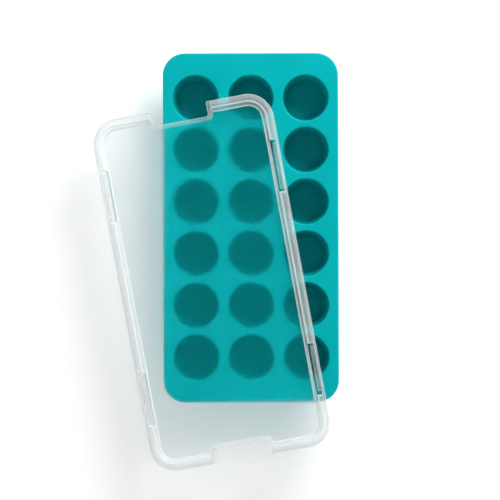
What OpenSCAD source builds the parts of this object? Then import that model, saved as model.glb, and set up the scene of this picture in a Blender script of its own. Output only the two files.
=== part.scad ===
// Ice cube tray: a soft moulded tray of round cups, with a clip-on lid lying askew on its deck.
// +Z is up, Y runs along the tray, and the origin is the tray's centre on the surface it stands on.

/* [Tray] */
// Columns of cups across the tray
cup_columns = 3; // [2:1:4]
// Rows of cups along the tray
cup_rows = 6; // [4:1:8]
// Distance between neighbouring cup centres across the tray
pitch_x = 35; // [33:0.5:45]
// Distance between neighbouring cup centres along the tray
pitch_y = 33; // [33:0.5:45]
// Distance from the outer cup centres to the long edges
side_margin = 20.8; // [19.5:0.1:30]
// Distance from the end cup centres to the short edges
end_margin = 28.6; // [20:0.1:40]
// Height of the tray from its feet to the top of the deck
tray_h = 34; // [24:1:50]
// Thickness of the deck
deck_t = 3; // [2:0.5:5]
// Radius of the tray's corners in plan
corner_r = 14; // [8:1:18]
// Width of the thicker edge round the deck
edge_w = 2.6; // [2:0.2:3]
// How far the thicker edge reaches below the deck
edge_drop = 1.2; // [0.4:0.2:3]
// Rounding of the deck's upper edge
edge_round = 1.2; // [0.4:0.2:1.8]

/* [Cups] */
// Inner diameter of a cup at the top of the deck
mouth_d = 29; // [24:0.2:29.2]
// Inner diameter that a cup's tapered wall has at the level of its floor
floor_d = 24; // [20:0.5:27]
// Thickness of a cup's wall
wall_t = 1.8; // [1.2:0.1:1.9]
// Thickness of a cup's floor
floor_t = 2; // [1.4:0.2:3]
// Rounding between wall and floor inside a cup
floor_round = 5; // [1.5:0.5:6]
// Height of the foot ring below the floor
foot_h = 1; // [0.6:0.2:2]
// How far the foot ring reaches in under the floor
ledge_w = 1.5; // [0.8:0.1:2.5]
// Rounding of a cup's mouth
lip_round = 1; // [0.4:0.1:1.6]
// Clearance round a floor, so that it can be pushed up
floor_gap = 0.25; // [0.1:0.05:0.4]

/* [Lid] */
// Clearance between the deck's edge and the skirt when the lid is on
skirt_gap = 0.6; // [0.4:0.1:2]
// Thickness of the skirt
skirt_t = 1.5; // [1:0.1:2]
// How far the skirt reaches below the hooks
skirt_foot = 0.3; // [0:0.1:2]
// Thickness of the panel
panel_t = 1.4; // [1:0.1:2.4]
// Thickness of the rim's top and of its inner wall
rim_t = 1.4; // [1:0.1:2]
// How far the rim rises above the panel
rim_rise = 3; // [2:0.2:5]
// Width of the rim's flat top inside the skirt
rim_top_w = 3.1; // [2.6:0.1:5]
// Width of the rim's sloping inner wall, seen from above
rim_slope_w = 2.4; // [1.5:0.1:4]
// Rounding of the rim's outer edge
rim_round = 1; // [0.3:0.1:1.4]
// Width of the finger notch in each short side
notch_w = 35; // [24:1:50]
// Depth of the finger notch inside the rim
notch_d = 2.3; // [1.5:0.1:8]
// Width of the rib round a finger notch
rib_w = 2.2; // [1.4:0.1:3]
// Length of the windows in the rim
window_l = 33; // [20:1:45]
// Distance between the centres of the two windows of a long side
window_pitch = 130.6; // [80:0.2:150]
// Length of the hook under a window
hook_l = 30; // [15:1:40]
// How far a hook reaches in under the deck's edge
hook_grip = 1.6; // [0.5:0.1:2]
// Thickness of a hook
hook_t = 1.2; // [0.8:0.1:2]
// Play between a hook and the deck's edge when the lid is on
hook_play = 0.3; // [0.1:0.1:0.6]

/* [Lid at rest] */
// Sideways distance from the tray's centre to the lid's
lid_x = -24.6; // [-32:0.1:-18]
// Lengthways distance from the tray's centre to the lid's
lid_y = -34.8; // [-42:0.1:-25]
// Turn of the lid, seen from above
lid_turn = 10.3; // [6:0.1:14]
// Clearance where the lid lies on the deck
rest_gap = 0.3; // [0.2:0.1:0.6]

/* [Hidden] */
$fn = 96;
arc_steps = 6;
cut_past = 1;

tray_w = 2 * side_margin + (cup_columns - 1) * pitch_x;
tray_l = 2 * end_margin + (cup_rows - 1) * pitch_y;
deck_under = tray_h - deck_t;
edge_h = deck_t + edge_drop;

// A cup's wall leans out by this much for each millimetre of height
floor_top = foot_h + floor_t;
lean_out = (mouth_d - floor_d) / 2 / (tray_h - floor_top);
wall_angle = atan(lean_out);
across_wall = 1 / cos(wall_angle);
floor_bend_r = floor_d / 2 + lean_out * floor_round - floor_round * across_wall;
foot_round = floor_round + wall_t;
foot_bend_r = wall_outside(foot_round) - foot_round * across_wall;

// The skirt ends below the hooks, which catch under the edge of the deck
hook_z = skirt_foot;
skirt_drop = hook_z + hook_t + hook_play + edge_h;
hook_reach = skirt_gap + hook_grip;
panel_top = skirt_drop + panel_t;
rim_top = panel_top + rim_rise;
rim_w = skirt_t + rim_top_w + rim_slope_w;
rim_slope = rim_slope_w / rim_rise;
slope_t = rim_t * sqrt(1 + rim_slope * rim_slope);
lid_w = tray_w + 2 * (skirt_gap + skirt_t);
lid_l = tray_l + 2 * (skirt_gap + skirt_t);
lid_r = corner_r + skirt_gap + skirt_t;
notch_reach = rim_w + notch_d;

// The skirt lies on the deck's left and near edges, and the panel on the corner between them
left_edge = -tray_w / 2;
near_edge = -tray_l / 2;
skirt_reach = [lid_w / 2 - skirt_t, lid_l / 2 - skirt_t];
left_rest = [left_edge, lid_y + (skirt_reach[1] + (left_edge - lid_x) * sin(lid_turn)) / cos(lid_turn)];
near_rest = [lid_x + (skirt_reach[0] - (near_edge - lid_y) * sin(lid_turn)) / cos(lid_turn), near_edge];
rest_line = (near_rest - left_rest) / norm(near_rest - left_rest);
rest_side = [rest_line[1], -rest_line[0]];
corner_centre = [left_edge + corner_r, near_edge + corner_r];
corner_away = (corner_centre - left_rest) * rest_side + corner_r;
lid_lean = asin(skirt_drop / corner_away);

column_names = ["a", "b", "c", "d"];
cups = [for (c = [0 : cup_columns - 1]) for (r = [0 : cup_rows - 1]) [c, r]];

silicone = [0, 0.62, 0.63];
cup_silicone = [0, 0.54, 0.56];
clear_plastic = [0.86, 0.9, 0.91];

function cup_name(piece, cup) = str(piece, "_", column_names[cup[0]], cup[1] + 1);

function cup_place(cup) = [
    (cup[0] - (cup_columns - 1) / 2) * pitch_x,
    ((cup_rows - 1) / 2 - cup[1]) * pitch_y,
    0
];

// Radius of a cup's wall at a height, inside and outside
function wall_inside(z) = floor_d / 2 + lean_out * (z - floor_top);
function wall_outside(z) = wall_inside(z) + wall_t * across_wall;

// Distance from the lid's outer edge to the underside of the rim's inner wall, at a height
function slope_under(z) = skirt_t + rim_top_w + (rim_top - z) * rim_slope - slope_t;

// Points of an arc about a centre, from one angle to another
function arc(centre, r, from, to) = [
    for (i = [0 : arc_steps]) centre + r * [cos(from + (to - from) * i / arc_steps),
                                            sin(from + (to - from) * i / arc_steps)]
];

module rounded_plate(w, l, r, h) {
    translate([-w / 2, r - l / 2, 0]) cube([w, l - 2 * r, h]);
    translate([r - w / 2, -l / 2, 0]) cube([w - 2 * r, l, h]);
    for (x = [-1, 1], y = [-1, 1])
        translate([x * (w / 2 - r), y * (l / 2 - r), 0]) cylinder(r = r, h = h);
}

// Carries a profile round a rounded rectangle; the profile's x runs inward from the outer edge
module round_the_edge(w, l, r) {
    for (side = [[0, w, l], [90, l, w], [180, w, l], [270, l, w]]) {
        reach = side[1] / 2;
        corner = side[2] / 2 - r;
        rotate(side[0]) translate([reach, corner, 0])
            rotate([90, 0, 0]) linear_extrude(2 * corner) mirror([1, 0]) children();
        rotate(side[0]) translate([reach - r, corner, 0])
            rotate_extrude(angle = 90) translate([r, 0]) mirror([1, 0]) children();
    }
}

module deck_edge_profile() {
    edge_bottom = tray_h - edge_h;
    polygon(concat(
        [[edge_w, edge_bottom]],
        arc([edge_round / 2, edge_bottom + edge_round / 2], edge_round / 2, 270, 180),
        arc([edge_round, tray_h - edge_round], edge_round, 180, 90),
        [[edge_w, tray_h]]
    ));
}

module mouth_cut() {
    rotate_extrude() polygon(concat(
        [[0, deck_under - cut_past], [wall_inside(deck_under - cut_past), deck_under - cut_past]],
        arc([wall_inside(tray_h) + lip_round, tray_h - lip_round], lip_round, 180, 90),
        [[wall_inside(tray_h) + lip_round, tray_h + cut_past], [0, tray_h + cut_past]]
    ));
}

module tray_deck() {
    color(silicone) difference() {
        union() {
            round_the_edge(tray_w, tray_l, corner_r) deck_edge_profile();
            translate([0, 0, deck_under])
                rounded_plate(tray_w - edge_w, tray_l - edge_w, corner_r - edge_w / 2, deck_t);
        }
        for (cup = cups) translate(cup_place(cup)) mouth_cut();
    }
}

module cup_wall(cup) {
    color(cup_silicone) translate(cup_place(cup)) rotate_extrude() polygon(concat(
        [[floor_bend_r - ledge_w, 0]],
        arc([foot_bend_r, foot_round], foot_round, 270, 360 - wall_angle),
        [[wall_outside(deck_under), deck_under], [wall_inside(deck_under), deck_under]],
        arc([floor_bend_r, floor_top + floor_round], floor_round, 360 - wall_angle, 270),
        [[floor_bend_r, foot_h], [floor_bend_r - ledge_w, foot_h]]
    ));
}

module cup_floor(cup) {
    color(cup_silicone) translate(cup_place(cup) + [0, 0, foot_h])
        cylinder(r = floor_bend_r - floor_gap, h = floor_t);
}

module rim_profile() {
    polygon(concat(
        [[skirt_t, 0], [0, 0]],
        arc([rim_round, rim_top - rim_round], rim_round, 180, 90),
        [
            [skirt_t + rim_top_w, rim_top],
            [rim_w, panel_top],
            [rim_w, skirt_drop],
            [slope_under(skirt_drop), skirt_drop],
            [slope_under(rim_top - rim_t), rim_top - rim_t],
            [skirt_t, rim_top - rim_t]
        ]
    ));
}

// A block at a finger notch, reaching from the lid's outer edge inward
module notch_block(w, reach, from, to) {
    translate([-w / 2, lid_l / 2 - reach, from]) cube([w, reach, to - from]);
}

module notch_rib() {
    difference() {
        notch_block(notch_w + 2 * rib_w, notch_reach + rib_w, skirt_drop, rim_top);
        notch_block(notch_w, notch_reach, 0, rim_top + cut_past);
    }
}

// A window and the hook under it, on the right side, at a place along the lid
module window(y) {
    translate([lid_w / 2 - skirt_t - rim_top_w, y - window_l / 2, rim_top - rim_t - cut_past])
        cube([rim_top_w, window_l, rim_t + 2 * cut_past]);
}

module hook(y) {
    translate([lid_w / 2 - skirt_t - hook_reach, y - hook_l / 2, hook_z])
        cube([hook_reach + skirt_t / 2, hook_l, hook_t]);
}

module lid_shape() {
    difference() {
        union() {
            round_the_edge(lid_w, lid_l, lid_r) rim_profile();
            panel_lap = rim_w - slope_under(skirt_drop);
            translate([0, 0, skirt_drop])
                rounded_plate(lid_w - 2 * rim_w + panel_lap, lid_l - 2 * rim_w + panel_lap,
                              lid_r - rim_w + panel_lap / 2, panel_t);
        }
        for (turn = [0, 180], y = [-1, 1]) rotate(turn) window(y * window_pitch / 2);
        for (turn = [0, 180]) rotate(turn)
            notch_block(notch_w + rib_w, notch_reach + cut_past, -cut_past, rim_top + cut_past);
    }
    for (turn = [0, 180]) rotate(turn) notch_rib();
    for (turn = [0, 180], y = [-1, 1]) rotate(turn) hook(y * window_pitch / 2);
}

module lid() {
    color(clear_plastic, 0.6)
        translate([left_rest[0], left_rest[1], tray_h + rest_gap])
        rotate(a = lid_lean, v = [rest_line[0], rest_line[1], 0])
        translate([lid_x - left_rest[0], lid_y - left_rest[1], 0])
        rotate(lid_turn)
        lid_shape();
}

tray_deck();
lid();
for (cup = cups) {
    cup_wall(cup);
    cup_floor(cup);
}
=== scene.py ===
import bmesh
import bpy
from math import asin, atan2, cos, hypot, pi, radians, sin, sqrt, tan
from mathutils import Matrix, Vector
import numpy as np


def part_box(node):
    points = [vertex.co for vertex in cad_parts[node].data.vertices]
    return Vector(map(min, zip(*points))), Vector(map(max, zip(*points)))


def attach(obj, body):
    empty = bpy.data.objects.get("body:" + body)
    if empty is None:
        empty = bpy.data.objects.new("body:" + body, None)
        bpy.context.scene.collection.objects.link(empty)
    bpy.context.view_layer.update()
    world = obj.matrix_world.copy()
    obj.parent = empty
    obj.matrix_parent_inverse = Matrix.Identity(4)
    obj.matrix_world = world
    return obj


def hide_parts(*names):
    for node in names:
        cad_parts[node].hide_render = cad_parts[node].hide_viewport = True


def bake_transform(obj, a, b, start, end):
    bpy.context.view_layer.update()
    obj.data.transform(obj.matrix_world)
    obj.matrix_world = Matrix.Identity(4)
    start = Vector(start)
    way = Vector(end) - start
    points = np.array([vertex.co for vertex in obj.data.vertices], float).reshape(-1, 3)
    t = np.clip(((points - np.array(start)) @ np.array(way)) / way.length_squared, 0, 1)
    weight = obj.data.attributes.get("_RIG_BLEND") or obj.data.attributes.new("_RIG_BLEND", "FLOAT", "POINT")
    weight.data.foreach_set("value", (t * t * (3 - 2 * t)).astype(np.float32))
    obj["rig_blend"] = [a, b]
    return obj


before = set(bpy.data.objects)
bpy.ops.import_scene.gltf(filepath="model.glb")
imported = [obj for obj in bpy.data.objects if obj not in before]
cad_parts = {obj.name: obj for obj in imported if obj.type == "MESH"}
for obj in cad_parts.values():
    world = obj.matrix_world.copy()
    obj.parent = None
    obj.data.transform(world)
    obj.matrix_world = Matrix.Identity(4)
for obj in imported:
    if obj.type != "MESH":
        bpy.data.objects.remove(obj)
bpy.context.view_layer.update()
scene = bpy.context.scene
mm = 0.001  # pieces are modelled in millimetres and scaled to metres when they are finished


def boxInMm(node):
    low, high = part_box(node)
    return low / mm, high / mm


columnLetters = "abc"
rowNumbers = range(1, 7)
cupNames = [letter + str(number) for letter in columnLetters for number in rowNumbers]
deckLow, deckHigh = boxInMm("tray_deck")
floorLow, floorHigh = boxInMm("cup_floor_a1")
deckTop, deckUnder = deckHigh.z, boxInMm("cup_wall_a1")[1].z
floorTop, floorUnder = floorHigh.z, floorLow.z


def cupCentre(name):
    low, high = boxInMm("cup_wall_" + name)
    return Vector(((low.x + high.x) / 2, (low.y + high.y) / 2, 0))


# Materials

def newMaterial(name):
    material = bpy.data.materials.new(name)
    material.use_nodes = True
    nodes = material.node_tree.nodes
    return material, nodes, material.node_tree.links, nodes["Principled BSDF"]


def noiseOnObject(nodes, links, scale, detail=2.0):
    place = nodes.new("ShaderNodeTexCoord")
    noise = nodes.new("ShaderNodeTexNoise")
    noise.inputs["Scale"].default_value = scale
    noise.inputs["Detail"].default_value = detail
    links.new(place.outputs["Object"], noise.inputs["Vector"])
    return noise


def rampOn(nodes, links, source, stops):
    ramp = nodes.new("ShaderNodeValToRGB")
    elements = ramp.color_ramp.elements
    while len(elements) < len(stops):
        elements.new(1)
    for element, (at, colour) in zip(elements, stops):
        element.position = at
        element.color = (*colour, 1)
    links.new(source, ramp.inputs["Fac"])
    return ramp


def bumpFrom(nodes, links, source, strength, distance):
    bump = nodes.new("ShaderNodeBump")
    bump.inputs["Strength"].default_value = strength
    bump.inputs["Distance"].default_value = distance
    links.new(source, bump.inputs["Height"])
    return bump


silicone = {
    "deep": (0.0013, 0.417, 0.438),
    "bright": (0.0022, 0.461, 0.483),
    "rough": (0.3, 0.38),
    "cloudScale": 34,
    "cloudDetail": 4,
    "grainScale": 1500,
    "grainStrength": 0.25,
    "grainDepth": 0.00012,
    "specular": 0.4,
    "specularTint": (0.06, 0.85, 0.88, 1),
}
cloudFrom, cloudTo = 0.3, 0.7  # the stretch of the cloud noise that a tone runs over


def makeSilicone():
    material, nodes, links, shader = newMaterial("tealSilicone")
    cloud = noiseOnObject(nodes, links, silicone["cloudScale"], silicone["cloudDetail"])
    tone = rampOn(nodes, links, cloud.outputs["Fac"],
                  [(cloudFrom, silicone["deep"]), (cloudTo, silicone["bright"])])
    links.new(tone.outputs["Color"], shader.inputs["Base Color"])
    smoothest, roughest = silicone["rough"]
    satin = rampOn(nodes, links, cloud.outputs["Fac"],
                   [(cloudFrom, (smoothest,) * 3), (cloudTo, (roughest,) * 3)])
    links.new(satin.outputs["Color"], shader.inputs["Roughness"])
    grain = noiseOnObject(nodes, links, silicone["grainScale"])
    bump = bumpFrom(nodes, links, grain.outputs["Fac"], silicone["grainStrength"], silicone["grainDepth"])
    links.new(bump.outputs["Normal"], shader.inputs["Normal"])
    shader.inputs["Specular IOR Level"].default_value = silicone["specular"]
    shader.inputs["Specular Tint"].default_value = silicone["specularTint"]
    return material


lidTexture = {
    "cloudScale": 60,
    "cloudDetail": 3,
    "toneSpread": 0.006,
    "grainStrength": 0.2,
    "sheenRough": 0.8,
}
clearPlastic = {
    "tone": (0.985, 0.985, 0.985),
    "index": 1.22,
    "rough": 0.08,
    "seeThrough": 1,
    "solid": 1,
    "shine": (1, 1, 1),
    "sheen": 0.2,
    "sheenTint": (1, 1, 1),
    "grainScale": 900,
    "grainDepth": 0.00001,
}
# the hazy tone is tinted mint, painted teal light bounced up from the deck; the edge and soft plastics take
# this tone over
hazyPlastic = {**clearPlastic, "tone": (0.91, 0.952, 0.949), "seeThrough": 0.72,
               "index": 1.09, "rough": 0.3, "sheen": 0}
# the bevelled edges get a whiter, mostly solid plastic: painted highlight lines along the lid's edges
edgeHighlightPlastic = {**hazyPlastic, "seeThrough": 0.15, "index": 1.35, "rough": 0.2}
softPlastic = {**hazyPlastic, "seeThrough": 0, "solid": 0.17}
panelPlastic = {
    # the tone is lowered in green and blue to offset the painted teal veil over the white floor
    "tone": (0.935, 0.846, 0.857),
    "index": 1.2,
    "rough": 0.85,
    "seeThrough": 1,
    "solid": 0.58,
    "shine": (0.1, 1, 1),
    # the pure cyan sheen is a painted teal veil, standing in for the deck's teal light scattered through the
    # frosted panel
    "sheen": 0.46,
    "sheenTint": (0, 1, 1),
    "grainScale": 2600,
    "grainDepth": 0.00002,
}


def makeLidPlastic(name, finish):
    material, nodes, links, shader = newMaterial(name)
    cloud = noiseOnObject(nodes, links, lidTexture["cloudScale"], lidTexture["cloudDetail"])
    darker = [value - lidTexture["toneSpread"] for value in finish["tone"]]
    lighter = [value + lidTexture["toneSpread"] for value in finish["tone"]]
    tone = rampOn(nodes, links, cloud.outputs["Fac"], [(cloudFrom, darker), (cloudTo, lighter)])
    links.new(tone.outputs["Color"], shader.inputs["Base Color"])
    grain = noiseOnObject(nodes, links, finish["grainScale"])
    bump = bumpFrom(nodes, links, grain.outputs["Fac"], lidTexture["grainStrength"], finish["grainDepth"])
    links.new(bump.outputs["Normal"], shader.inputs["Normal"])
    shader.inputs["Transmission Weight"].default_value = finish["seeThrough"]
    shader.inputs["Alpha"].default_value = finish["solid"]
    shader.inputs["IOR"].default_value = finish["index"]
    shader.inputs["Specular Tint"].default_value = (*finish["shine"], 1)
    shader.inputs["Sheen Weight"].default_value = finish["sheen"]
    shader.inputs["Sheen Roughness"].default_value = lidTexture["sheenRough"]
    shader.inputs["Sheen Tint"].default_value = (*finish["sheenTint"], 1)
    shader.inputs["Roughness"].default_value = finish["rough"]
    return material


tealSilicone = makeSilicone()
lidPlastics = [
    makeLidPlastic("clearPlastic", clearPlastic),
    makeLidPlastic("panelPlastic", panelPlastic),
    makeLidPlastic("edgeHighlightPlastic", edgeHighlightPlastic),
    makeLidPlastic("hazyPlastic", hazyPlastic),
    makeLidPlastic("softPlastic", softPlastic),
]
ofPanel, ofPaintedHighlight, ofHaze, ofSoft = 1, 2, 3, 4  # which of the lid's plastics a face has
print("materials made")


# Helpers for the meshes

meshCare = {
    "weld": 0.0005,  # millimetres within which points merge
    "near": 0.01,  # millimetres within which a point is on a line
    "sharpFrom": 40,
    "normalWeight": 60,
}


def isNear(value, target):
    return abs(value - target) < meshCare["near"]


def finishPiece(bm, name, materials, sharpFrom=meshCare["sharpFrom"]):
    bmesh.ops.remove_doubles(bm, verts=bm.verts, dist=meshCare["weld"])
    bmesh.ops.recalc_face_normals(bm, faces=bm.faces)
    openEdges = sum(not edge.is_manifold for edge in bm.edges)
    for face in bm.faces:
        face.smooth = face.material_index != ofPanel  # the frosted panel stays flat
    for edge in bm.edges:
        edge.smooth = edge.calc_face_angle(pi) < radians(sharpFrom)
    bmesh.ops.scale(bm, vec=(mm, mm, mm), verts=bm.verts)
    mesh = bpy.data.meshes.new(name)
    bm.to_mesh(mesh)
    bm.free()
    piece = bpy.data.objects.new(name, mesh)
    scene.collection.objects.link(piece)
    for material in materials:
        mesh.materials.append(material)
    print(name, len(mesh.polygons), "faces, open edges", openEdges)
    return piece


def weighNormals(piece):
    weigh = piece.modifiers.new("weighNormals", "WEIGHTED_NORMAL")
    weigh.keep_sharp = True
    weigh.weight = meshCare["normalWeight"]


def spinProfile(bm, points, centre, steps):
    line = [bm.verts.new((centre.x + r, centre.y, z)) for r, z in points]
    edges = [bm.edges.new(pair) for pair in zip(line, line[1:])]
    bmesh.ops.spin(bm, geom=line + edges, cent=(centre.x, centre.y, 0), axis=(0, 0, 1),
                   angle=2 * pi, steps=steps, use_merge=True)


def ringEdges(bm, centre, radius, height):
    onRing = {vert for vert in bm.verts if isNear(vert.co.z, height)
              and isNear(hypot(vert.co.x - centre.x, vert.co.y - centre.y), radius)}
    return [edge for edge in bm.edges if edge.verts[0] in onRing and edge.verts[1] in onRing]


def growFaces(bm, faces, move, keep=False):
    grown = bmesh.ops.extrude_face_region(bm, geom=faces)["geom"]
    verts = [item for item in grown if isinstance(item, bmesh.types.BMVert)]
    bmesh.ops.translate(bm, vec=move, verts=verts)
    if not keep:
        bmesh.ops.delete(bm, geom=faces, context="FACES_ONLY")
    return [item for item in grown if isinstance(item, bmesh.types.BMFace)]


def roundEdges(bm, edges, offset, segments):
    bmesh.ops.bevel(bm, geom=edges, offset=offset, offset_type="OFFSET", segments=segments,
                    profile=0.5, affect="EDGES", material=-1, clamp_overlap=False)


# Cups, each one skin of wall and floor

cupSkin = {
    "mouth": 29,
    "floor": 24,
    "thickness": 1.8,
    "floorRound": 5,
    "footRound": 6.8,
    "roundSteps": 7,
    "hollowRound": 0.3,
    "hollowSteps": 2,
    "ledge": 1.5,
    "flare": 0.6,
    "steps": 64,
    "tallFrom": 15,  # edges taller than this are cut into rings
    "wallRings": 14,
    "bendFrom": 26,
    "bendTo": 5,
}
lean = (cupSkin["mouth"] - cupSkin["floor"]) / 2 / (deckTop - floorTop)
acrossWall = sqrt(1 + lean * lean)
cornerShare = tan((pi / 2 - atan2(lean, 1)) / 2)  # bevel offset for each millimetre of radius


def wallInside(z):
    return cupSkin["floor"] / 2 + lean * (z - floorTop)


def wallOutside(z):
    return wallInside(z) + cupSkin["thickness"] * acrossWall


def makeCup(name):
    centre = cupCentre(name)
    flare = cupSkin["flare"]
    footInside = (floorHigh.x - floorLow.x) / 2 - cupSkin["ledge"]
    bm = bmesh.new()
    spinProfile(bm, [
        (0, floorTop),
        (wallInside(floorTop), floorTop),
        (wallInside(deckUnder), deckUnder),
        (wallOutside(deckUnder) + flare, deckUnder),
        (wallOutside(deckUnder - 2 * flare), deckUnder - 2 * flare),
        (wallOutside(0), 0),
        (footInside, 0),
        (footInside, floorUnder),
        (0, floorUnder),
    ], centre, cupSkin["steps"])
    bmesh.ops.remove_doubles(bm, verts=bm.verts, dist=meshCare["weld"])
    roundEdges(bm, ringEdges(bm, centre, wallInside(floorTop), floorTop),
               cupSkin["floorRound"] * cornerShare, cupSkin["roundSteps"])
    roundEdges(bm, ringEdges(bm, centre, wallOutside(0), 0),
               cupSkin["footRound"] * cornerShare, cupSkin["roundSteps"])
    roundEdges(bm, ringEdges(bm, centre, footInside, 0), cupSkin["hollowRound"], cupSkin["hollowSteps"])
    tall = [edge for edge in bm.edges
            if abs(edge.verts[0].co.z - edge.verts[1].co.z) > cupSkin["tallFrom"]]
    bmesh.ops.subdivide_edges(bm, edges=tall, cuts=cupSkin["wallRings"], use_grid_fill=True)
    piece = finishPiece(bm, "cup_" + name, [tealSilicone])
    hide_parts("cup_wall_" + name, "cup_floor_" + name)
    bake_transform(piece, "tray", "floor_" + name,
             start=(centre + Vector((0, 0, cupSkin["bendFrom"]))) * mm,
             end=(centre + Vector((0, 0, cupSkin["bendTo"]))) * mm)


for cupName in cupNames:
    makeCup(cupName)
print("cups made", len(cupNames))


# Deck with its edge and the cups' lips

deckPlate = {
    "cornerRound": 14,
    "cornerSteps": 12,
    "edgeWidth": 2.6,
    "edgeDrop": deckUnder - deckLow.z,
    "edgeRound": 1.2,
    "edgeSteps": 6,
    "underRound": 0.6,
    "underSteps": 4,
    "sharpFrom": 60,
    "lipRound": 1,
    "lipSteps": 6,
    "collar": 0.4,
    "border": 4.0,
}


def edgesAt(edges, height):
    return [edge for edge in edges if all(isNear(vert.co.z, height) for vert in edge.verts)]


def sharpEdges(bm):
    return [edge for edge in bm.edges if edge.calc_face_angle(0) > radians(deckPlate["sharpFrom"])]


def makeDeck():
    halfWide, halfLong = deckHigh.x, deckHigh.y
    bm = bmesh.new()
    bmesh.ops.create_grid(bm, x_segments=1, y_segments=1, size=1)
    bmesh.ops.scale(bm, vec=(halfWide, halfLong, 1), verts=bm.verts)
    bmesh.ops.translate(bm, vec=(0, 0, deckLow.z), verts=bm.verts)
    bmesh.ops.bevel(bm, geom=bm.verts[:], offset=deckPlate["cornerRound"], offset_type="OFFSET",
                    segments=deckPlate["cornerSteps"], profile=0.5, affect="VERTICES", material=-1)
    underFace = bm.faces[:][0]
    topFace = growFaces(bm, [underFace], (0, 0, deckTop - deckLow.z), keep=True)[0]
    bmesh.ops.recalc_face_normals(bm, faces=bm.faces)
    bmesh.ops.inset_region(bm, faces=[topFace], thickness=deckPlate["border"], use_even_offset=True)
    bmesh.ops.inset_region(bm, faces=[underFace], thickness=deckPlate["edgeWidth"], use_even_offset=True)
    underFace = growFaces(bm, [underFace], (0, 0, deckPlate["edgeDrop"]))[0]
    bmesh.ops.inset_region(bm, faces=[underFace], use_even_offset=True,
                           thickness=deckPlate["border"] - deckPlate["edgeWidth"])
    bmesh.ops.delete(bm, geom=[topFace, underFace], context="FACES_ONLY")
    mouth = wallInside(deckTop)
    collarRadius = mouth + deckPlate["lipRound"] + deckPlate["collar"]
    for name in cupNames:
        spinProfile(bm, [(collarRadius, deckTop), (mouth, deckTop),
                         (wallInside(deckUnder), deckUnder), (collarRadius, deckUnder)],
                    cupCentre(name), cupSkin["steps"])
    for height in (deckTop, deckUnder):
        openEdges = edgesAt([edge for edge in bm.edges if edge.is_boundary], height)
        bmesh.ops.triangle_fill(bm, use_beauty=True, use_dissolve=False, edges=openEdges)
    bmesh.ops.recalc_face_normals(bm, faces=bm.faces)
    for name in cupNames:
        roundEdges(bm, ringEdges(bm, cupCentre(name), mouth, deckTop),
                   deckPlate["lipRound"] * cornerShare, deckPlate["lipSteps"])
    roundEdges(bm, edgesAt(sharpEdges(bm), deckTop), deckPlate["edgeRound"], deckPlate["edgeSteps"])
    roundEdges(bm, edgesAt(sharpEdges(bm), deckLow.z), deckPlate["underRound"], deckPlate["underSteps"])
    piece = finishPiece(bm, "deck", [tealSilicone])
    weighNormals(piece)
    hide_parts("tray_deck")
    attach(piece, "tray")


makeDeck()
print("deck made")


# Lid, one quarter modelled and mirrored twice, then laid on the tray

lidForm = {
    "skirtGap": 0.6,
    "skirt": 1.5,
    "skirtDrop": 6.0,
    "panel": 1.4,
    "rimRise": 3.0,
    "rimFlat": 3.1,
    "rimSlope": 2.4,
    "rimThickness": 1.4,
    "notchHalf": 17.5,
    "notchReach": 9.3,
    "ribEnd": 2.2,
    # for each line round the rim: how far in the notch's rib is, and its outer and inner corner radius
    "wallRib": (0, 0.9, 1.6),
    "flatOutRib": (1.2, 0.5, 2.2),
    "flatInRib": (1.7, 1.6, 2.4),
    "panelRib": (2.5, 2.1, 2.6),
    # how much of the softening width each edge gets, and the share of that on the notch's rib
    # the softened bevels carry the painted highlight lines, so these widths also set how wide those lines
    # are
    "wallSoft": 0.25,
    "flatSoft": 0.45,
    "panelSoft": 0.35,
    "otherSoft": 0.2,
    "ribShare": 0.3,
    "softWidth": 1,
    "softSteps": 4,
    "flatUnder": 5,  # degrees below which an edge stays as it is
    "sharpFrom": 30,
    "windowPitch": 130.6,
    "windowLength": 33,
    "windowInset": 5.3,
    "hookLength": 29.4,
    "hookReach": 2.75,
    "hookFrom": 0.3,
    "hookTo": 1.5,
    "pointGap": 0.4,
    "cornerSteps": 12,
    "notchSteps": 6,
    "x": -24.6,
    "y": -34.8,
    "turn": 10.3,
    "restGap": 0.3,
}
lidHalfWide = deckHigh.x + lidForm["skirtGap"] + lidForm["skirt"]
lidHalfLong = deckHigh.y + lidForm["skirtGap"] + lidForm["skirt"]
lidCorner = deckPlate["cornerRound"] + lidForm["skirtGap"] + lidForm["skirt"]
panelTop = lidForm["skirtDrop"] + lidForm["panel"]
rimTop = panelTop + lidForm["rimRise"]
rimWidth = lidForm["skirt"] + lidForm["rimFlat"] + lidForm["rimSlope"]


def slopeUnder(z):  # how far in the underside of the rim's slope lies, at a height
    slope = lidForm["rimSlope"] / lidForm["rimRise"]
    return (lidForm["skirt"] + lidForm["rimFlat"] + (rimTop - z) * slope
            - lidForm["rimThickness"] * sqrt(1 + slope * slope))


def cornerArc(corner, before, after, radius, steps):
    centre = corner - before * radius + after * radius
    turns = [pi / 2 * step / steps for step in range(steps + 1)]
    return [centre + radius * (before * sin(turn) - after * cos(turn)) for turn in turns]


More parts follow.
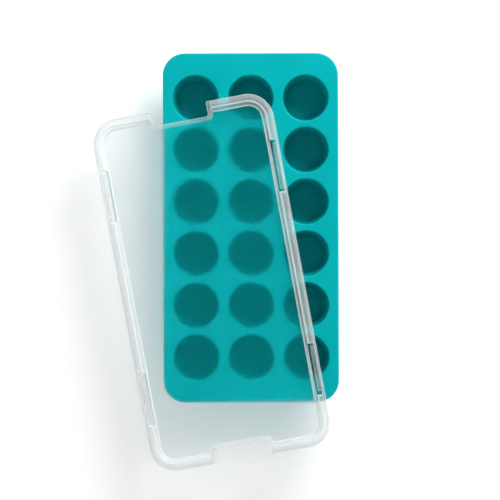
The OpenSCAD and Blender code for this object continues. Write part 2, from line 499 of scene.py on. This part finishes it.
def rimLine(inset, rib):
    ribInset, outerRadius, innerRadius = rib
    right, far, near = Vector((1, 0)), Vector((0, 1)), Vector((0, -1))
    sideX, endY = lidHalfWide - inset, lidHalfLong - inset
    notchX = lidForm["notchHalf"] + ribInset
    notchY = lidHalfLong - lidForm["notchReach"] - ribInset
    endX = max(notchX + outerRadius + lidForm["pointGap"], lidForm["notchHalf"] + lidForm["ribEnd"])
    windowHalf = lidForm["windowLength"] / 2
    reach = [windowHalf + lidForm["pointGap"], windowHalf, lidForm["hookLength"] / 2]
    reach += [-along for along in reversed(reach)]
    line = [Vector((0, notchY))]
    line += cornerArc(Vector((notchX, notchY)), right, far, innerRadius, lidForm["notchSteps"])
    line += cornerArc(Vector((notchX, endY)), far, right, outerRadius, lidForm["notchSteps"])
    line += [Vector((endX, endY))]
    line += cornerArc(Vector((sideX, endY)), right, near, lidCorner - inset, lidForm["cornerSteps"])
    line += [Vector((sideX, lidForm["windowPitch"] / 2 + along)) for along in reach]
    return line + [Vector((sideX, 0))]


notchPoints = 2 * (lidForm["notchSteps"] + 1) + 1  # how many points come before the rim's own stretch


def rimOnly(inset):
    line = rimLine(inset, lidForm["wallRib"])[notchPoints:]
    line[0].x = lidForm["notchHalf"] + lidForm["ribEnd"]
    return line


def drawLine(bm, line, height):
    verts = [bm.verts.new((point.x, point.y, height)) for point in line]
    return verts, [bm.edges.new(pair) for pair in zip(verts, verts[1:])]


def bridge(bm, first, second):
    return bmesh.ops.bridge_loops(bm, edges=first + second)["faces"]


def facesBetween(faces, along):
    middle, reach = lidForm["windowPitch"] / 2, along + meshCare["near"]
    return [face for face in faces
            if all(abs(vert.co.y - middle) < reach and vert.co.x > 0 for vert in face.verts)]


def cutFaces(bm, faces):
    rim = [edge for face in faces for edge in face.edges
           if sum(other in faces for other in edge.link_faces) == 1]
    bmesh.ops.delete(bm, geom=faces, context="FACES_ONLY")
    loose = [edge for edge in bm.edges if not edge.link_faces]
    bmesh.ops.delete(bm, geom=[edge for edge in loose if edge not in rim], context="EDGES")
    return rim


def besideWindow(vert):
    along = abs(vert.co.y) - lidForm["windowPitch"] / 2
    return abs(along) < lidForm["windowLength"] / 2 + meshCare["near"]


def onWindowEdge(vert):
    return besideWindow(vert) and isNear(abs(vert.co.x), lidHalfWide - lidForm["windowInset"])


def makeLidQuarter():
    bm = bmesh.new()
    weight = bm.edges.layers.float.new("bevel_weight_edge")
    skirt, drop = lidForm["skirt"], lidForm["skirtDrop"]
    ceiling = rimTop - lidForm["rimThickness"]
    # outer wall and top
    outer = rimLine(0, lidForm["wallRib"])
    wallFoot, wallFootEdges = drawLine(bm, outer, drop)
    wallHeadEdges = drawLine(bm, outer, rimTop)[1]
    flatOutEdges = drawLine(bm, rimLine(skirt, lidForm["flatOutRib"]), rimTop)[1]
    flatIn, flatInEdges = drawLine(bm, rimLine(skirt + lidForm["rimFlat"], lidForm["flatInRib"]), rimTop)
    panelLine, panelEdges = drawLine(bm, rimLine(rimWidth, lidForm["panelRib"]), panelTop)
    for edges, soft in ((wallHeadEdges, "wallSoft"), (flatInEdges, "flatSoft"), (panelEdges, "panelSoft")):
        for place, edge in enumerate(edges):
            edge[weight] = lidForm[soft] * (1 if place >= notchPoints else lidForm["ribShare"])
    wallFaces = bridge(bm, wallFootEdges, wallHeadEdges)
    topFaces = bridge(bm, flatOutEdges, flatInEdges)
    hazyFaces = bridge(bm, wallHeadEdges, flatOutEdges) + topFaces + bridge(bm, flatInEdges, panelEdges)
    for face in wallFaces + hazyFaces:
        if face.calc_center_median().x < lidForm["notchHalf"] + lidForm["ribEnd"]:
            face.material_index = ofSoft
        elif face in hazyFaces:
            face.material_index = ofHaze
    # skirt and the hollow under the rim
    rimFoot, rimFootEdges = wallFoot[notchPoints:], wallFootEdges[notchPoints:]
    skirtOut, skirtOutEdges = drawLine(bm, rimOnly(0), 0)
    inside = rimOnly(skirt)
    levels = [drawLine(bm, inside, z)
              for z in (0, lidForm["hookFrom"], lidForm["hookTo"], drop, ceiling)]
    slopeHead, slopeHeadEdges = drawLine(bm, rimOnly(slopeUnder(ceiling)), ceiling)
    slopeFoot, slopeFootEdges = drawLine(bm, rimOnly(slopeUnder(drop)), drop)
    for vert in flatIn + slopeHead:
        if besideWindow(vert):
            further = lidForm["windowInset"] - (lidHalfWide - vert.co.x)
            vert.co.z -= further * lidForm["rimRise"] / lidForm["rimSlope"]
            vert.co.x -= further
    bridge(bm, rimFootEdges, skirtOutEdges)
    bridge(bm, skirtOutEdges, levels[0][1])
    bridge(bm, levels[0][1], levels[1][1])
    hookFaces = bridge(bm, levels[1][1], levels[2][1])
    bridge(bm, levels[2][1], levels[3][1])
    bridge(bm, levels[3][1], levels[4][1])
    ceilingFaces = bridge(bm, levels[4][1], slopeHeadEdges)
    bridge(bm, slopeHeadEdges, slopeFootEdges)
    ends = [level[0][0] for level in levels]
    bm.faces.new([rimFoot[0], skirtOut[0]] + ends[:4])
    bm.faces.new([ends[3], ends[4], slopeHead[0], slopeFoot[0]])
    # panel, frosted on both faces
    topFace = bm.faces.new(panelLine + [bm.verts.new((0, 0, panelTop))])
    underFace = bm.faces.new(wallFoot[:notchPoints + 1] + [ends[3]] + slopeFoot
                             + [bm.verts.new((0, 0, drop))])
    topFace.material_index = underFace.material_index = ofPanel
    # window and hook
    half = lidForm["windowLength"] / 2
    topHole = cutFaces(bm, facesBetween(topFaces, half))
    underHole = cutFaces(bm, facesBetween(ceilingFaces, half))
    around = bridge(bm, topHole, underHole)
    hookRoots = facesBetween(hookFaces, lidForm["hookLength"] / 2)
    hookFronts = growFaces(bm, hookRoots, (-lidForm["hookReach"], 0, 0))
    around += [face for front in hookFronts for edge in front.edges for face in edge.link_faces]
    for face in around:
        face.material_index = ofSoft
    return bm


def seatOfLid():
    turn = radians(lidForm["turn"])
    left, near = deckLow.x, deckLow.y
    reachX, reachY = lidHalfWide - lidForm["skirt"], lidHalfLong - lidForm["skirt"]
    leftRest = Vector((left, lidForm["y"] + (reachY + (left - lidForm["x"]) * sin(turn)) / cos(turn), 0))
    nearRest = Vector((lidForm["x"] + (reachX - (near - lidForm["y"]) * sin(turn)) / cos(turn), near, 0))
    restLine = (nearRest - leftRest).normalized()
    restSide = Vector((restLine.y, -restLine.x, 0))
    corner = Vector((left + deckPlate["cornerRound"], near + deckPlate["cornerRound"], 0))
    away = (corner - leftRest).dot(restSide) + deckPlate["cornerRound"]
    tilt = Matrix.Rotation(asin(lidForm["skirtDrop"] / away), 4, restLine)
    lift = Matrix.Translation(leftRest + Vector((0, 0, deckTop + lidForm["restGap"])))
    place = Matrix.Translation(Vector((lidForm["x"], lidForm["y"], 0)) - leftRest)
    return lift @ tilt @ place @ Matrix.Rotation(turn, 4, "Z")


def makeLid():
    bm = makeLidQuarter()
    for axis in "XY":
        bmesh.ops.mirror(bm, geom=bm.verts[:] + bm.edges[:] + bm.faces[:], axis=axis,
                         merge_dist=2 * meshCare["weld"])
    bmesh.ops.remove_doubles(bm, verts=bm.verts, dist=meshCare["weld"])
    bmesh.ops.recalc_face_normals(bm, faces=bm.faces)
    weight = bm.edges.layers.float["bevel_weight_edge"]
    for edge in bm.edges:
        angle = edge.calc_face_angle(0)
        if angle < radians(lidForm["flatUnder"]):
            edge[weight] = 0
        elif angle > radians(lidForm["sharpFrom"]) and edge[weight] == 0:
            edge[weight] = lidForm["otherSoft"]
        if all(onWindowEdge(vert) for vert in edge.verts):
            edge[weight] = 0
    bmesh.ops.transform(bm, matrix=seatOfLid(), verts=bm.verts)
    piece = finishPiece(bm, "lid_moulding", lidPlastics, sharpFrom=180)
    soften = piece.modifiers.new("softenEdges", "BEVEL")
    soften.limit_method = "WEIGHT"
    soften.width = lidForm["softWidth"] * mm
    soften.segments = lidForm["softSteps"]
    soften.profile = 0.5
    soften.use_clamp_overlap = False
    # the bevel's faces take the whiter plastic: painted highlight lines along the edges
    soften.material = ofPaintedHighlight
    weighNormals(piece)
    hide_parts("lid")
    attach(piece, "lid")
    return piece


lid = makeLid()
lidLow, lidHigh = boxInMm("lid")
corners = [Vector(corner) / mm for corner in lid.bound_box]
print("lid made, off its node by",
      [round(min(c[i] for c in corners) - lidLow[i], 2) for i in range(3)],
      [round(max(c[i] for c in corners) - lidHigh[i], 2) for i in range(3)])


# Floor, world, lamp and camera

studio = {
    "floorColour": (0.98, 0.98, 0.98),
    "floorSize": 8,
    "floorDrop": 0.0002,
    "floorRough": 0.9,
    "floorGlow": 0.21,
    "skyStrength": 1.38,
    "skyTones": ((0, 1), (0.3, 0.55), (0.6, 0.31), (1, 0.34)),
    "lampDistance": 1.1,
    "lampSize": (0.7, 0.56),
    "lampTurn": 60,
    "lampHeight": 41,
    "lampPower": 9.0,
    "cameraDistance": 1.3,
    "fieldWide": 0.318,
    "cameraOver": (-0.0006, -0.0142),
    "cameraRoll": -0.18,
}


def makeFloor():
    bm = bmesh.new()
    bmesh.ops.create_grid(bm, x_segments=1, y_segments=1, size=studio["floorSize"] / 2)
    bmesh.ops.translate(bm, vec=(0, 0, -studio["floorDrop"]), verts=bm.verts)
    mesh = bpy.data.meshes.new("paleFloor")
    bm.to_mesh(mesh)
    bm.free()
    floor = bpy.data.objects.new("paleFloor", mesh)
    scene.collection.objects.link(floor)
    material, nodes, links, shader = newMaterial("paleFloor")
    shader.inputs["Base Color"].default_value = (*studio["floorColour"], 1)
    shader.inputs["Roughness"].default_value = studio["floorRough"]
    shader.inputs["Specular IOR Level"].default_value = 0
    shader.inputs["Emission Color"].default_value = (1, 1, 1, 1)
    path = nodes.new("ShaderNodeLightPath")
    shown = path.outputs["Is Camera Ray"]
    for ray in ("Is Glossy Ray", "Is Transmission Ray"):
        either = nodes.new("ShaderNodeMath")
        either.operation = "MAXIMUM"
        links.new(shown, either.inputs[0])
        links.new(path.outputs[ray], either.inputs[1])
        shown = either.outputs[0]
    glow = nodes.new("ShaderNodeMath")
    glow.operation = "MULTIPLY"
    glow.inputs[1].default_value = studio["floorGlow"]
    links.new(shown, glow.inputs[0])
    links.new(glow.outputs[0], shader.inputs["Emission Strength"])
    mesh.materials.append(material)


def makeSky():
    world = bpy.data.worlds.new("softSky")
    world.use_nodes = True
    nodes, links = world.node_tree.nodes, world.node_tree.links
    direction = nodes.new("ShaderNodeTexCoord")
    split = nodes.new("ShaderNodeSeparateXYZ")
    links.new(direction.outputs["Generated"], split.inputs["Vector"])
    ramp = rampOn(nodes, links, split.outputs["Z"],
                  [(at, (tone,) * 3) for at, tone in studio["skyTones"]])
    links.new(ramp.outputs["Color"], nodes["Background"].inputs["Color"])
    nodes["Background"].inputs["Strength"].default_value = studio["skyStrength"]
    scene.world = world


def makeLamp():
    lamp = bpy.data.lights.new("softKey", "AREA")
    lamp.shape = "ELLIPSE"
    lamp.size, lamp.size_y = studio["lampSize"]
    lamp.energy = studio["lampPower"]
    turn, height = radians(studio["lampTurn"]), radians(studio["lampHeight"])
    toward = Vector((cos(turn) * cos(height), sin(turn) * cos(height), sin(height)))
    holder = bpy.data.objects.new("softKey", lamp)
    holder.location = toward * studio["lampDistance"]
    holder.rotation_mode = "QUATERNION"
    holder.rotation_quaternion = toward.to_track_quat("Z", "Y")
    scene.collection.objects.link(holder)


def makeCamera():
    lens = bpy.data.cameras.new("overhead")
    lens.lens = lens.sensor_width * studio["cameraDistance"] / studio["fieldWide"]
    holder = bpy.data.objects.new("overhead", lens)
    holder.location = (*studio["cameraOver"], deckTop * mm + studio["cameraDistance"])
    holder.rotation_euler = (0, 0, radians(studio["cameraRoll"]))
    scene.collection.objects.link(holder)
    scene.camera = holder


makeFloor()
makeSky()
makeLamp()
makeCamera()
scene.view_settings.view_transform = "Standard"
print("stage made")
